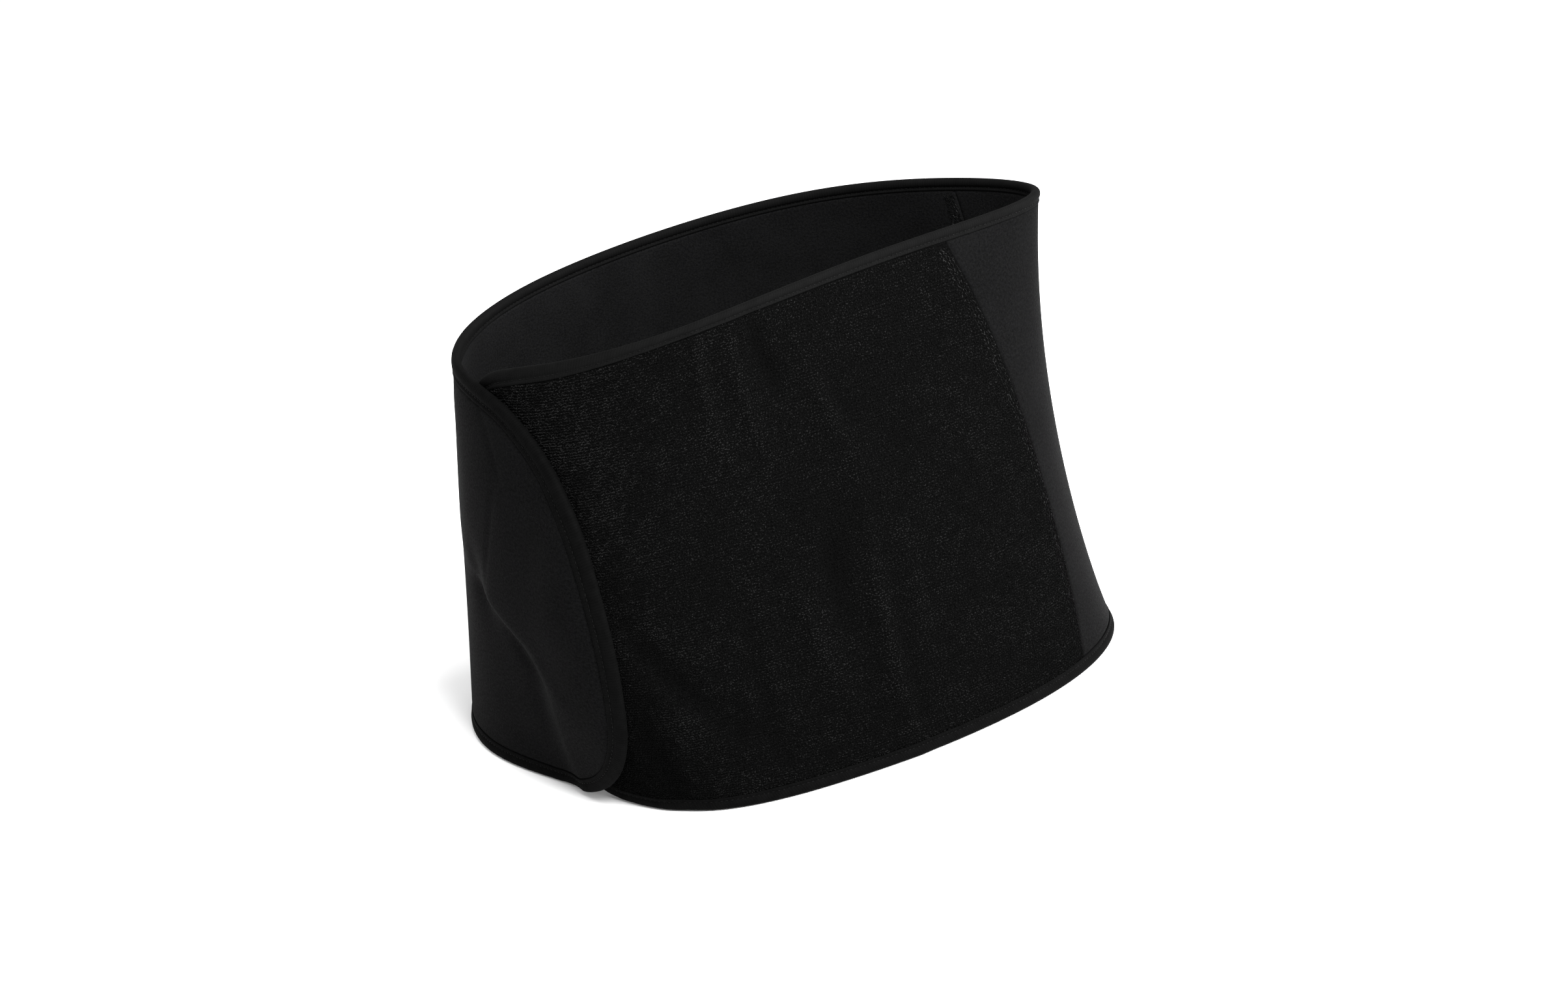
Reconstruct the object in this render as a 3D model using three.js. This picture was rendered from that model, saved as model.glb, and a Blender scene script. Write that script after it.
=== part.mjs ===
// Belly band: a fastened foam-cloth waist tube standing on its lower edge.
// Millimetres, +X right, +Y to the rear, +Z up, origin under the middle of the box on the floor.
import * as THREE from "three";

// The tube's outer skin: one row per measure, given at the lower edge, half height and upper edge.
const SKIN = {
  rightX: [177.8, 150.1, 149.9],
  rightY: [4.3, -5.4, -4.4],
  leftX: [-163.9, -158.2, -147.3],
  leftY: [0.9, 0.2, -0.1],
  frontX: [-52.0, -80.4, -48.6],
  frontY: [-121.7, -119.9, -91.4],
  rearX: [15.3, 18.4, 14.0],
  rearY: [119.1, 110.7, 97.7],
  frontLeftFullness: [0.863, 0.971, 1.046],
  frontRightFullness: [0.962, 0.927, 0.77],
  rearRightFullness: [1.003, 1.026, 0.97],
  rearLeftFullness: [1.107, 1.018, 1.0],
  seamTurn: [0.088, 0.067, 0.099],
};
const BOX_CENTRE = { x: 6.2, y: -2.4 };
const HEIGHT_RIGHT = 240;
const RIM_DROP_LEFT = 32.7;
const RIM_RISE_MIDDLE = 5.4;

// Wall layers, measured from the outer skin.
const FOAM = 3.2;
const LOOP_PILE = 0.9;
const PRESSED = { outer: -1.25, inner: -1.95, until: 9.6, full: 14.0 };
const GAP = 0.3;

// Folded edge tape.
const TAPE = { thick: 1.0, wide: 8.0, corner: 0.9, slack: 0.95 };

// The flap rides over the underlap, with the hook patch between.
const HOOK = { from: 1.2, thick: 1.0, bottom: 0.24, top: 0.82, endInset: 0.02, wide: 0.052 };
const FLAP_LIFT = HOOK.from + HOOK.thick + GAP + FOAM;
const RAMP_TURN = 0.044;

// Outlines of the two ends: turn is the share of the way round, height the share of the wall.
const FLAP_END = [
  { turn: 1.0, height: 1.0 },
  { turn: 1.035, height: 0.991 },
  { turn: 1.068, height: 0.967 },
  { turn: 1.1, height: 0.927 },
  { turn: 1.133, height: 0.856 },
  { turn: 1.165, height: 0.766 },
  { turn: 1.19, height: 0.66 },
  { turn: 1.205, height: 0.54 },
  { turn: 1.211, height: 0.42 },
  { turn: 1.209, height: 0.31 },
  { turn: 1.199, height: 0.2 },
  { turn: 1.18, height: 0.115 },
  { turn: 1.155, height: 0.055 },
  { turn: 1.125, height: 0.014 },
  { turn: 1.095, height: 0.0 },
];
const UNDERLAP_END = [
  { turn: 0.155, height: 0.0 },
  { turn: 0.138, height: 0.014 },
  { turn: 0.132, height: 0.055 },
  { turn: 0.132, height: 0.15 },
  { turn: 0.132, height: 0.24 },
  { turn: 0.129, height: 0.31 },
  { turn: 0.115, height: 0.37 },
  { turn: 0.093, height: 0.415 },
  { turn: 0.077, height: 0.465 },
  { turn: 0.069, height: 0.53 },
  { turn: 0.066, height: 0.62 },
  { turn: 0.065, height: 0.72 },
  { turn: 0.062, height: 0.82 },
  { turn: 0.057, height: 0.89 },
  { turn: 0.058, height: 0.94 },
  { turn: 0.065, height: 0.97 },
  { turn: 0.08, height: 0.989 },
  { turn: 0.105, height: 0.998 },
  { turn: 0.125, height: 1.0 },
];
const CORNER_ROWS = { low: 2, high: 4 };
const CREASE_BEFORE_UNDERLAP = 0.009;

// Soft folds: middle, turns leaned per height, half widths as shares, and how far out (mm).
const FOLDS = [
  { turn: 1.045, height: 0.49, lean: 0, acrossTurn: 0.014, upHeight: 0.07, out: -3.0 },
  { turn: 0.3285, height: 0.28, lean: 0.027, acrossTurn: 0.009, upHeight: 0.22, out: 1.6 },
  { turn: 0.319, height: 0.37, lean: 0.004, acrossTurn: 0.007, upHeight: 0.13, out: -1.1 },
  { turn: 0.3045, height: 0.3, lean: -0.008, acrossTurn: 0.008, upHeight: 0.15, out: 1.2 },
  { turn: 0.267, height: 0.83, lean: -0.1, acrossTurn: 0.008, upHeight: 0.14, out: 1.0 },
  { turn: 0.284, height: 0.845, lean: -0.12, acrossTurn: 0.008, upHeight: 0.12, out: 1.2 },
  { turn: 0.298, height: 0.87, lean: -0.16, acrossTurn: 0.007, upHeight: 0.07, out: -1.0 },
  { turn: 0.335, height: 0.65, lean: -0.053, acrossTurn: 0.009, upHeight: 0.17, out: 1.0 },
  { turn: 0.243, height: 0.31, lean: -0.154, acrossTurn: 0.011, upHeight: 0.19, out: -2.2 },
  { turn: 0.2375, height: 0.255, lean: -0.126, acrossTurn: 0.009, upHeight: 0.1, out: 1.2 },
  { turn: 0.213, height: 0.15, lean: 0, acrossTurn: 0.012, upHeight: 0.13, out: -1.8 },
];

// Grid sizes.
const ROWS_BETWEEN = { loop: 16, plain: 10 };
const EDGE_ROWS = [2.1, 5.0, 9.4, 14.2];
const COLUMNS = { loop: 24, side: 8, rear: 26, flap: 26, hookAcross: 5, hookUp: 10 };
const UNDERLAP_SHARES = [0, 0.012, 0.035, 0.06];
const FLAP_SHARES = [0.985, 0.994, 1];
const REAR_SHARE = 0.64;
const TAPE_STEP = 9.5;
const WAY_ROUND = { top: 770, bottom: 918 };

const END_STEPS = { underlap: 32, flap: 44 };
const HEIGHT_SQUEEZE = 1 / 3;
const SIGHT = 1e-3;
const SETTLING_PASSES = 24;

// Value of a three-number row at a share of the height.
function atHeight(row, t) {
  return row[0] * (1 - t) * (1 - 2 * t) + 4 * row[1] * t * (1 - t) + row[2] * t * (2 * t - 1);
}

// Eight points round the tube at one height, from the left end by way of the front.
function stations(t) {
  const v = {};
  for (const name of Object.keys(SKIN)) {
    v[name] = atHeight(SKIN[name], t);
  }
  const diagonal = (midX, endX, midY, endY, fullness) => {
    const reach = Math.SQRT1_2 * fullness;
    return [midX + (endX - midX) * reach, 0.5 * endY + midY * reach];
  };
  return [
    [v.leftX, v.leftY],
    diagonal(v.frontX, v.leftX, v.frontY, v.leftY, v.frontLeftFullness),
    [v.frontX, v.frontY],
    diagonal(v.frontX, v.rightX, v.frontY, v.rightY, v.frontRightFullness),
    [v.rightX, v.rightY],
    diagonal(v.rearX, v.rightX, v.rearY, v.rightY, v.rearRightFullness),
    [v.rearX, v.rearY],
    diagonal(v.rearX, v.leftX, v.rearY, v.leftY, v.rearLeftFullness),
  ];
}

// Closed smooth curve through eight evenly counted values.
function closedCurve(values, u) {
  const n = values.length;
  const bend = new Array(n).fill(0);
  for (let pass = 0; pass < SETTLING_PASSES; pass += 1) {
    for (let i = 0; i < n; i += 1) {
      const before = (i + n - 1) % n;
      const after = (i + 1) % n;
      const turn = 6 * (values[before] - 2 * values[i] + values[after]);
      bend[i] = (turn - bend[before] - bend[after]) / 4;
    }
  }
  const place = (u - Math.floor(u)) * n;
  const i = Math.floor(place) % n;
  const j = (i + 1) % n;
  const b = place - Math.floor(place);
  const a = 1 - b;
  const curved = ((a ** 3 - a) * bend[i] + (b ** 3 - b) * bend[j]) / 6;
  return a * values[i] + b * values[j] + curved;
}

function rimHeight(u) {
  const angle = 2 * Math.PI * u;
  return HEIGHT_RIGHT - RIM_DROP_LEFT * (1 + Math.cos(angle)) / 2 + RIM_RISE_MIDDLE * Math.sin(angle) ** 2;
}

function skin(u, t) {
  const ring = stations(t);
  const x = closedCurve(ring.map((point) => point[0]), u) - BOX_CENTRE.x;
  const y = closedCurve(ring.map((point) => point[1]), u) - BOX_CENTRE.y;
  return new THREE.Vector3(x, y, t * rimHeight(u));
}

function slopes(u, t) {
  const along = skin(u + SIGHT, t).sub(skin(u - SIGHT, t)).divideScalar(2 * SIGHT);
  const up = skin(u, t + SIGHT).sub(skin(u, t - SIGHT)).divideScalar(2 * SIGHT);
  return { along, up, out: along.clone().cross(up).normalize() };
}

function smooth(from, to, value) {
  return THREE.MathUtils.smoothstep(value, from, to);
}

// Turn of an end outline at one height.
function turnAt(outline, t) {
  const rising = outline[0].height < outline[outline.length - 1].height;
  const rows = rising ? outline : [...outline].reverse();
  if (t <= rows[0].height) return rows[0].turn;
  for (let i = 1; i < rows.length; i += 1) {
    if (t <= rows[i].height) {
      const share = (t - rows[i - 1].height) / (rows[i].height - rows[i - 1].height);
      return THREE.MathUtils.lerp(rows[i - 1].turn, rows[i].turn, share);
    }
  }
  return rows[rows.length - 1].turn;
}

// An outline drawn smooth, as many small rows, with heights squeezed to about the scale of turns.
function drawn(outline, count) {
  const points = outline.map((row) => new THREE.Vector3(row.turn, row.height * HEIGHT_SQUEEZE, 0));
  const curve = new THREE.CatmullRomCurve3(points, false, "centripetal");
  return curve.getSpacedPoints(count).map((point) => {
    const height = THREE.MathUtils.clamp(point.y / HEIGHT_SQUEEZE, 0, 1);
    return { turn: point.x, height };
  });
}

const underlapEnd = drawn(UNDERLAP_END, END_STEPS.underlap);
const flapEnd = drawn(FLAP_END, END_STEPS.flap);
const creaseRows = UNDERLAP_END.slice(CORNER_ROWS.low, -CORNER_ROWS.high);

function crease(t) {
  return 1 - CREASE_BEFORE_UNDERLAP + turnAt(creaseRows, t);
}

// How far the wall stands out from the skin at a place.
function standsOut(u, t) {
  let out = FLAP_LIFT * smooth(crease(t) - RAMP_TURN, crease(t), u);
  for (const fold of FOLDS) {
    const middle = fold.turn + fold.lean * (t - fold.height);
    const across = (u - middle) / fold.acrossTurn;
    const up = (t - fold.height) / fold.upHeight;
    out += fold.out * Math.exp(-across * across - up * up);
  }
  return out;
}

// A point of a layer, "level" millimetres outside the wall's outer face.
function layer(u, t, level) {
  return skin(u, t).addScaledVector(slopes(u, t).out, standsOut(u, t) + level);
}

// One solid from a grid of outer points and a grid of inner points.
function slab(outer, inner) {
  const rows = outer.length;
  const columns = outer[0].length;
  const corners = [...outer.flat(), ...inner.flat()];
  const faces = [];
  const outerAt = (r, c) => r * columns + c;
  const innerAt = (r, c) => rows * columns + r * columns + c;
  const apart = (a, b) => corners[a].distanceTo(corners[b]);
  const quad = (a, b, c, d) => {
    const cut = apart(a, c) < apart(b, d) ? [a, b, c, a, c, d] : [a, b, d, b, c, d];
    faces.push(...cut);
  };
  for (let r = 0; r + 1 < rows; r += 1) {
    for (let c = 0; c + 1 < columns; c += 1) {
      quad(outerAt(r, c), outerAt(r, c + 1), outerAt(r + 1, c + 1), outerAt(r + 1, c));
      quad(innerAt(r, c), innerAt(r + 1, c), innerAt(r + 1, c + 1), innerAt(r, c + 1));
    }
  }
  for (let c = 0; c + 1 < columns; c += 1) {
    const top = rows - 1;
    quad(outerAt(0, c), innerAt(0, c), innerAt(0, c + 1), outerAt(0, c + 1));
    quad(outerAt(top, c), outerAt(top, c + 1), innerAt(top, c + 1), innerAt(top, c));
  }
  for (let r = 0; r + 1 < rows; r += 1) {
    const last = columns - 1;
    quad(outerAt(r, 0), outerAt(r + 1, 0), innerAt(r + 1, 0), innerAt(r, 0));
    quad(outerAt(r, last), innerAt(r, last), innerAt(r + 1, last), outerAt(r + 1, last));
  }
  return solid(corners, faces);
}

function solid(corners, faces) {
  const geometry = new THREE.BufferGeometry();
  const numbers = corners.flatMap((corner) => [corner.x, corner.y, corner.z]);
  geometry.setAttribute("position", new THREE.Float32BufferAttribute(numbers, 3));
  geometry.setIndex(faces);
  geometry.computeVertexNormals();
  return geometry;
}

// Heights of the grid rows: close together under the tape, even between.
function rowHeights(between) {
  const rim = rimHeight(0.25);
  const low = EDGE_ROWS.map((inset) => inset / rim);
  const high = EDGE_ROWS.map((inset) => 1 - inset / rim).reverse();
  const heights = [...low];
  for (let i = 1; i < between; i += 1) {
    heights.push(THREE.MathUtils.lerp(low[low.length - 1], high[0], i / between));
  }
  return [...heights, ...high];
}

// A place of a path moved inward from the edge by some millimetres along the wall.
function movedInward(place, before, after, inset) {
  const { along, up } = slopes(place.turn, place.height);
  const goAlong = (after.turn - before.turn) * along.length();
  const goUp = (after.height - before.height) * up.length();
  const length = Math.hypot(goAlong, goUp);
  return {
    turn: place.turn + (inset * goUp) / length / along.length(),
    height: place.height - (inset * goAlong) / length / up.length(),
  };
}

function insetOutline(outline, inset) {
  const last = outline.length - 1;
  return outline.map((row, i) => {
    const before = outline[Math.max(i - 1, 0)];
    const after = outline[Math.min(i + 1, last)];
    return movedInward(row, before, after, inset);
  });
}

// Millimetres from a place on the wall to an end outline.
function distanceTo(outline, u, t) {
  const { along, up } = slopes(u, t);
  let least = Infinity;
  for (const row of outline) {
    const sideways = (row.turn - u) * along.length();
    const upward = (row.height - t) * up.length();
    least = Math.min(least, Math.hypot(sideways, upward));
  }
  return least;
}

// Panel: rows between two seams or ends, pressed thin where the tape grips it.
function panel(startTurn, endTurn, shares, between, outline, pile) {
  const outer = [];
  const inner = [];
  for (const row of rowHeights(between)) {
    const outerRow = [];
    const innerRow = [];
    for (const share of shares) {
      const u = THREE.MathUtils.lerp(startTurn(row), endTurn(row), share);
      const { up } = slopes(u, row);
      let inset = Math.min(row, 1 - row) * up.length();
      if (outline) inset = Math.min(inset, distanceTo(outline, u, row));
      const loose = smooth(PRESSED.until, PRESSED.full, inset);
      outerRow.push(layer(u, row, THREE.MathUtils.lerp(PRESSED.outer, pile, loose)));
      innerRow.push(layer(u, row, THREE.MathUtils.lerp(PRESSED.inner, -FOAM, loose)));
    }
    outer.push(outerRow);
    inner.push(innerRow);
  }
  return slab(outer, inner);
}

function evenShares(count) {
  return Array.from({ length: count + 1 }, (_, i) => i / count);
}

// Seams, half a gap to either side.
function seam(side, gapSide) {
  return (t) => {
    const u = 0.5 + side * atHeight(SKIN.seamTurn, t);
    return u + (gapSide * 0.5 * GAP) / slopes(u, t).along.length();
  };
}

const panelInset = TAPE.thick + TAPE.slack;
const underlapInset = insetOutline(underlapEnd, panelInset);
const flapInset = insetOutline(flapEnd, panelInset);

const loopShares = [...UNDERLAP_SHARES, ...evenShares(COLUMNS.loop).slice(2)];
const rearShares = evenShares(COLUMNS.rear).map((share) => REAR_SHARE * share);
const flapBetween = evenShares(COLUMNS.flap).slice(1, -1);
const flapShares = flapBetween.map((share) => THREE.MathUtils.lerp(REAR_SHARE, 1, share));
const wrapShares = [...rearShares, ...flapShares, ...FLAP_SHARES];

const loopStart = (t) => turnAt(underlapInset, t);
const wrapEnd = (t) => turnAt(flapInset, t);
const loopPanel = panel(loopStart, seam(-1, -1), loopShares, ROWS_BETWEEN.loop, underlapEnd, LOOP_PILE);
const sidePanel = panel(seam(-1, 1), seam(1, -1), evenShares(COLUMNS.side), ROWS_BETWEEN.plain, null, 0);
const wrapPanel = panel(seam(1, 1), wrapEnd, wrapShares, ROWS_BETWEEN.plain, flapEnd, 0);

// Hook patch on the flap's inner face.
function hookPatch() {
  const outer = [];
  const inner = [];
  for (const upShare of evenShares(COLUMNS.hookUp)) {
    const t = THREE.MathUtils.lerp(HOOK.bottom, HOOK.top, upShare);
    const end = turnAt(flapEnd, t) - HOOK.endInset;
    const across = evenShares(COLUMNS.hookAcross).map((share) => end - HOOK.wide * (1 - share));
    outer.push(across.map((u) => layer(u, t, -FOAM - GAP)));
    inner.push(across.map((u) => layer(u, t, -FOAM - GAP - HOOK.thick)));
  }
  return slab(outer, inner);
}

// The tape's way round the outline: upper edge, flap end, lower edge, underlap end.
function tapePath() {
  const rim = (from, to, height, wayRound) => {
    const count = Math.round((Math.abs(to - from) * wayRound) / TAPE_STEP);
    const between = evenShares(count).slice(1, -1);
    return between.map((share) => ({ turn: THREE.MathUtils.lerp(from, to, share), height }));
  };
  const underlapTop = underlapEnd[underlapEnd.length - 1].turn;
  const underlapBottom = underlapEnd[0].turn;
  const flapTop = flapEnd[0].turn;
  const flapBottom = flapEnd[flapEnd.length - 1].turn;
  const upperEdge = rim(underlapTop, flapTop, 1, WAY_ROUND.top);
  const lowerEdge = rim(flapBottom, underlapBottom, 0, WAY_ROUND.bottom);
  return [...upperEdge, ...flapEnd, ...lowerEdge, ...underlapEnd];
}

// The tape's cross-section: "in" runs from the folded edge inward, "out" through the wall.
function tapeSection() {
  const half = (PRESSED.outer - PRESSED.inner) / 2 + TAPE.slack + TAPE.thick;
  const hollow = half - TAPE.thick;
  return [
    { in: TAPE.wide, out: half },
    { in: TAPE.corner, out: half },
    { in: 0, out: half - TAPE.corner },
    { in: 0, out: TAPE.corner - half },
    { in: TAPE.corner, out: -half },
    { in: TAPE.wide, out: -half },
    { in: TAPE.wide, out: -hollow },
    { in: TAPE.thick, out: -hollow },
    { in: TAPE.thick, out: hollow },
    { in: TAPE.wide, out: hollow },
  ];
}

function edgeBinding() {
  const path = tapePath();
  const section = tapeSection();
  const middle = (PRESSED.outer + PRESSED.inner) / 2;
  const count = path.length;
  const corners = [];
  path.forEach((place, i) => {
    const before = path[(i + count - 1) % count];
    const after = path[(i + 1) % count];
    for (const point of section) {
      const spot = movedInward(place, before, after, point.in);
      const corner = layer(spot.turn, spot.height, middle + point.out);
      const onFloor = place.height === 0 && point.in === 0;
      corner.z = onFloor ? 0 : Math.max(corner.z, 0);
      corners.push(corner);
    }
  });
  const faces = [];
  const wide = section.length;
  for (let i = 0; i < count; i += 1) {
    const next = (i + 1) % count;
    for (let k = 0; k < wide; k += 1) {
      const beside = (k + 1) % wide;
      const [here, onward] = [i * wide + k, next * wide + k];
      const [hereBeside, onwardBeside] = [i * wide + beside, next * wide + beside];
      faces.push(here, onward, onwardBeside, here, onwardBeside, hereBeside);
    }
  }
  return solid(corners, faces);
}

function cloth(color) {
  return new THREE.MeshStandardMaterial({ color, roughness: 0.9, metalness: 0, side: THREE.DoubleSide });
}

function piece(name, geometry, material) {
  const mesh = new THREE.Mesh(geometry, material);
  mesh.name = name;
  return mesh;
}

const band = new THREE.Group();
band.name = "belly_band";
band.add(piece("loop_panel", loopPanel, cloth(0x101010)));
band.add(piece("side_panel", sidePanel, cloth(0x1c1c1d)));
band.add(piece("wrap_panel", wrapPanel, cloth(0x1c1c1d)));
band.add(piece("edge_binding", edgeBinding(), cloth(0x161616)));
band.add(piece("hook_patch", hookPatch(), cloth(0x121212)));

export default band;
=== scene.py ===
import math

import bpy
import numpy as np
from mathutils import Matrix, Vector


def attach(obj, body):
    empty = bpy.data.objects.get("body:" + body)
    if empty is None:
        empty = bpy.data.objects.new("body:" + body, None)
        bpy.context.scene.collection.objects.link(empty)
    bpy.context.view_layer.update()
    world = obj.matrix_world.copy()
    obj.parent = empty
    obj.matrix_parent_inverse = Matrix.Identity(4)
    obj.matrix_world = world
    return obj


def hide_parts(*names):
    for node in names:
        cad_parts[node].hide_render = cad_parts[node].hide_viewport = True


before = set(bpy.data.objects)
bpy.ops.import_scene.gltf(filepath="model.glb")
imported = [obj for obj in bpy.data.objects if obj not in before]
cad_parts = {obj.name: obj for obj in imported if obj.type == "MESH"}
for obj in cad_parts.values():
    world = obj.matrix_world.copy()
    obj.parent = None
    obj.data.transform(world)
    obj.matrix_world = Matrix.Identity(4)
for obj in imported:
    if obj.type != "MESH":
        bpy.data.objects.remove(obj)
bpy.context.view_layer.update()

MM = 0.001

# The tube's outer skin in millimetres: values at the lower edge, half height and upper edge.
SKIN = {
    "right_x": (177.8, 150.1, 149.9),
    "right_y": (4.3, -5.4, -4.4),
    "left_x": (-163.9, -158.2, -147.3),
    "left_y": (0.9, 0.2, -0.1),
    "front_x": (-52.0, -80.4, -48.6),
    "front_y": (-121.7, -119.9, -91.4),
    "rear_x": (15.3, 18.4, 14.0),
    "rear_y": (119.1, 110.7, 97.7),
    "front_left_fullness": (0.863, 0.971, 1.046),
    "front_right_fullness": (0.962, 0.927, 0.77),
    "rear_right_fullness": (1.003, 1.026, 0.97),
    "rear_left_fullness": (1.107, 1.018, 1.0),
    "seam_turn": (0.088, 0.067, 0.099),
}
BOX_CENTRE = np.array((6.2, -2.4, 0.0))
HEIGHT_RIGHT = 240.0
RIM_DROP_LEFT = 32.7
RIM_RISE_MIDDLE = 5.4

# Outlines of the two ends: turn is the share of the way round, height the share of the wall.
FLAP_END = (
    (1.0, 1.0), (1.035, 0.991), (1.068, 0.967), (1.1, 0.927), (1.133, 0.856),
    (1.165, 0.766), (1.19, 0.66), (1.205, 0.54), (1.211, 0.42), (1.209, 0.31),
    (1.199, 0.2), (1.18, 0.115), (1.155, 0.055), (1.125, 0.014), (1.095, 0.0),
)
UNDERLAP_END = (
    (0.155, 0.0), (0.138, 0.014), (0.132, 0.055), (0.132, 0.15), (0.132, 0.24),
    (0.129, 0.31), (0.115, 0.37), (0.093, 0.415), (0.077, 0.465), (0.069, 0.53),
    (0.066, 0.62), (0.065, 0.72), (0.062, 0.82), (0.057, 0.89), (0.058, 0.94),
    (0.065, 0.97), (0.08, 0.989), (0.105, 0.998), (0.125, 1.0),
)
UNDERLAP_CORNER_ROWS = (2, 4)
# Heights count this much less than turns when the outlines are spaced; points drawn for each outline.
HEIGHT_SQUEEZE = 1 / 3
POINTS_BETWEEN_ROWS = 40
FLAP_END_POINTS = 170
UNDERLAP_END_POINTS = 150
CREASE_POINTS = 120

# Wall layers in millimetres, measured from the outer skin; the wall is thin where the tape grips it.
FOAM = 3.2
LOOP_GROUND = 0.35
PINCH_HALF = 0.35
PINCH_UNTIL = 6.6
PINCH_FULL = 9.2
END_INSET = 2.0
WALL_MIDDLE = -FOAM / 2
# The faces sink in at the seams: depth and half width in millimetres, and the turn midway between them.
SEAM_GROOVE = 0.4
SEAM_GROOVE_HALF = 0.9
SIDE_MIDDLE_TURN = 0.5

# Grid rows of the panels: insets from the edges in millimetres, and the rows between them.
EDGE_ROWS = np.array((2.0, 3.6, 5.2, 6.4, 7.4, 8.2, 9.0, 9.8, 10.8, 12.5))
ROWS_BETWEEN = 76
# Turns at which the wall's height, or its length, is taken for rows, zigzags and loops.
FRONT_TURN = 0.25
ZIGZAG_TURN = 0.4
LOOP_ROWS_TURN = 0.3
LOOP_PITCH_TURN = 0.28
# Grid columns of the panels in stretches of (last share, steps), closer together at ends and seams.
LOOP_COLUMNS = ((0.06, 13), (0.993, 175), (1.0, 3))
SIDE_COLUMNS = ((0.014, 3), (0.986, 45), (1.0, 3))
WRAP_COLUMNS = ((0.004, 3), (0.62, 108), (0.97, 120), (1.0, 11))

# The flap rides up over the underlap's end along a crease.
FLAP_LIFT = 5.7
CREASE_BEFORE_UNDERLAP = 0.009
CREASE_ROUND = 3.6
CREASE_FALL = 7.0
# Higher up the crease runs further left and is softer: heights where each begins and is full, millimetres.
CREASE_LEFT_ABOVE = (0.4, 0.52)
CREASE_LEFT = 16.0
CREASE_SOFT_ABOVE = (0.46, 0.6)
CREASE_SOFT_ROUND = 11.0
CREASE_SOFT_FALL = 8.0
LEFT_WAY_ROUND = 690.0

# Soft folds: middle turn and height, turns leaned per height, half widths as shares, millimetres out.
FOLDS = (
    (1.045, 0.49, 0.0, 0.014, 0.07, -3.0),
    (0.3285, 0.28, 0.027, 0.009, 0.22, 1.6),
    (0.319, 0.37, 0.004, 0.007, 0.13, -1.1),
    (0.3045, 0.3, -0.008, 0.008, 0.15, 1.2),
    (0.267, 0.83, -0.1, 0.008, 0.14, 1.0),
    (0.284, 0.845, -0.12, 0.008, 0.12, 1.2),
    (0.298, 0.87, -0.16, 0.007, 0.07, -1.0),
    (0.335, 0.65, -0.053, 0.009, 0.17, 1.0),
    (0.243, 0.31, -0.154, 0.011, 0.19, -2.2),
    (0.2375, 0.255, -0.126, 0.009, 0.1, 1.2),
    (0.213, 0.15, 0.0, 0.012, 0.13, -1.8),
)
# Finer creases on the flap, in the same columns.
FLAP_CREASES = (
    (1.0866, 0.84, -0.125, 0.003, 0.07, -0.6),
    (1.0773, 0.64, 0.11, 0.003, 0.13, -0.6),
    (1.09, 0.345, -0.25, 0.009, 0.06, -1.2),
    (1.1, 0.22, 0.0, 0.01, 0.09, -1.2),
    (1.13, 0.31, -0.2, 0.012, 0.07, 0.8),
)
# Sharper creases of the loop panel, in the same columns.
LOOP_CREASES = (
    (0.3287, 0.31, 0.025, 0.0032, 0.22, 1.3),
    (0.333, 0.24, 0.025, 0.003, 0.2, -0.9),
    (0.345, 0.36, 0.018, 0.0035, 0.2, 0.9),
    (0.3178, 0.45, 0.016, 0.0045, 0.1, -1.3),
    (0.3038, 0.32, -0.018, 0.0032, 0.17, 1.1),
    (0.2655, 0.86, -0.12, 0.0035, 0.13, 1.1),
    (0.2855, 0.85, -0.095, 0.0035, 0.14, 1.2),
    (0.2975, 0.89, -0.125, 0.0045, 0.08, -1.3),
    (0.3255, 0.765, -0.078, 0.0035, 0.1, 0.9),
    (0.3346, 0.76, -0.078, 0.004, 0.06, -1.2),
    (0.355, 0.65, -0.1, 0.008, 0.05, -0.8),
    (0.2785, 0.25, 0.03, 0.0035, 0.12, -0.9),
    (0.286, 0.35, 0.017, 0.0035, 0.15, 0.8),
)
# Slow ripples of the soft wall: waves round the tube, waves up it, start and height in millimetres.
RIPPLES = ((61.0, 2.3, 0.4, 0.22), (97.0, -5.1, 2.0, 0.16))
RIPPLE_SWELLS_UP = 5.2
RIPPLE_FREE_RIM = 0.12

# Folded edge tape: inset from the edge and half thickness of its outer face.
TAPE_FACE = (
    (8.0, 1.45), (8.15, 1.65), (7.9, 1.88), (7.3, 2.02), (6.8, 1.97), (6.4, 1.78), (6.0, 1.56), (5.6, 1.54),
    (5.2, 1.76), (4.7, 2.06), (3.9, 2.31), (2.8, 2.4), (1.7, 2.28), (0.85, 1.95), (0.25, 1.35), (0.0, 0.6),
)
TAPE_HOLLOW = ((8.0, 1.3), (1.3, 0.95))
TAPE_GROOVE = (5.8, 1.55)
TAPE_STEP = 2.5
# The tape is narrower along the upper edge: the share it loses, and the turns between which it does so.
TAPE_NARROWER = 0.24
TAPE_NARROWS = (0.13, 0.3)
TAPE_WIDENS = (0.9, 1.0)
# It is also painted paler there, painted light for the light falling on the upper rim: how much, the
# heights between which it begins and the turns between which it ends.
TAPE_PAINTED_LIGHT_UPPER = 0.24
TAPE_PAINTED_LIGHT_ABOVE = (0.9, 0.97)
TAPE_PAINTED_LIGHT_UNTIL = (0.95, 1.05)
WAY_ROUND_TOP = 770.0
WAY_ROUND_BOTTOM = 918.0

# Stitches in the tape's groove, in millimetres.
THREAD = 0.24
STITCH_PITCH = 2.5
STITCH_LONG = 1.9
STITCH_LATE = 0.35
STITCH_LAST_LONG = 1.2
# Shares of the length, of the thread's thickness along a stitch, and of its rise over the groove.
STITCH_LENGTHS = (0.7, 1.05)
STITCH_TAPER = np.array((0.35, 0.9, 1.0, 0.9, 0.35))
STITCH_RISE = 1.1
STITCH_SUNK = 0.5
STITCH_UNEVEN = (-0.3, 0.2)

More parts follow.
